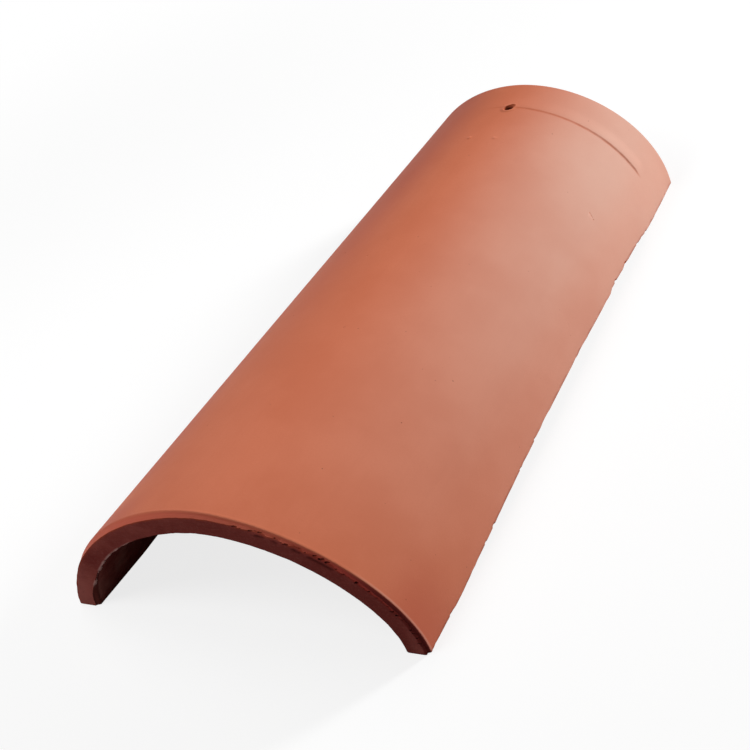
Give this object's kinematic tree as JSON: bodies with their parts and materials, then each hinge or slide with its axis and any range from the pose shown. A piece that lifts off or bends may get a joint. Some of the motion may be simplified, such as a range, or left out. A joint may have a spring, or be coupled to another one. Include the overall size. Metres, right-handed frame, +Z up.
{
  "type": "clay roof tile",
  "caption": "Tapered barrel roof tile of fired clay: an arched shell open at both ends, with a nail hole and a low stop ledge near the narrow end.",
  "frame": {"origin": "on the floor under the middle of the tile, at the bottom centre of its box", "axes": "+Z up through the crown, Y along the tile with the wide end at -Y and the narrow end at +Y, X across"},
  "size_m": [0.212, 0.4, 0.0755],
  "materials": {
    "fired_clay": "unglazed matte terracotta, smooth on the back, with cut ends"
  },
  "bodies": {
    "root": {"barrel_tile": "fired_clay"}
  },
  "joints": []
}
